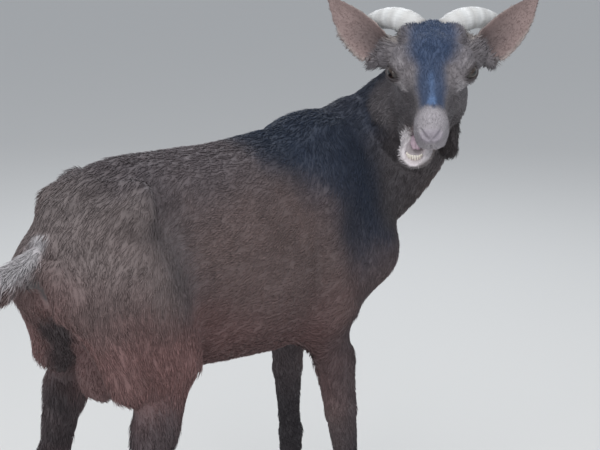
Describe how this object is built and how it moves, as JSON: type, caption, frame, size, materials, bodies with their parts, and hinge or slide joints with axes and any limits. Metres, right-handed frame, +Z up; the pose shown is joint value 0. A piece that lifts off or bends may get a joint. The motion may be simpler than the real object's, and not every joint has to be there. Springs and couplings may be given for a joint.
{
  "type": "goat",
  "caption": "Standing short-coated brown goat, head turned back over its right side with the mouth open, short horns, throat wattles and cloven feet.",
  "frame": {"origin": "middle of the whole animal's box, on the ground under the claws", "axes": "+X the way the body faces, +Y the animal's left, +Z up"},
  "size_m": [0.744, 0.3468, 0.8293],
  "materials": {
    "ear": "short hair, pinkish grey inside",
    "horn": "pale ringed horn",
    "eye": "wet",
    "wattle": "hairy",
    "tongue": "moist",
    "teeth": "smooth",
    "head": "short flat hair, blackish down the forehead and nose",
    "jaw": "short hair, paler at the lips",
    "neck": "short flat hair, blue-black",
    "scrotum": "thin short hair",
    "trunk": "short flat hair, dark grey-brown",
    "tail": "longer hair",
    "leg": "short flat hair, near black",
    "thigh": "short flat hair, reddish brown",
    "claw": "worn dark horn"
  },
  "bodies": {
    "root": {"right_ear": "ear", "right_horn": "horn", "right_eye": "eye", "right_wattle": "wattle", "left_ear": "ear", "left_horn": "horn", "left_eye": "eye", "left_wattle": "wattle", "tongue": "tongue", "lower_teeth": "teeth", "head": "head", "lower_jaw": "jaw", "neck": "neck", "scrotum": "scrotum", "trunk": "trunk", "tail": "tail", "right_forearm": "ear", "right_fore_cannon": "leg", "right_fore_pastern": "leg", "right_thigh": "thigh", "right_gaskin": "thigh", "right_hind_cannon": "leg", "right_hind_pastern": "leg", "right_fore_claw_inner": "claw", "right_fore_dewclaw_inner": "claw", "right_fore_claw_outer": "claw", "right_fore_dewclaw_outer": "claw", "right_hind_claw_inner": "claw", "right_hind_dewclaw_inner": "claw", "right_hind_claw_outer": "claw", "right_hind_dewclaw_outer": "claw", "left_forearm": "ear", "left_fore_cannon": "leg", "left_fore_pastern": "leg", "left_thigh": "thigh", "left_gaskin": "thigh", "left_hind_cannon": "leg", "left_hind_pastern": "leg", "left_fore_claw_inner": "claw", "left_fore_dewclaw_inner": "claw", "left_fore_claw_outer": "claw", "left_fore_dewclaw_outer": "claw", "left_hind_claw_inner": "claw", "left_hind_dewclaw_inner": "claw", "left_hind_claw_outer": "claw", "left_hind_dewclaw_outer": "claw"}
  },
  "joints": []
}
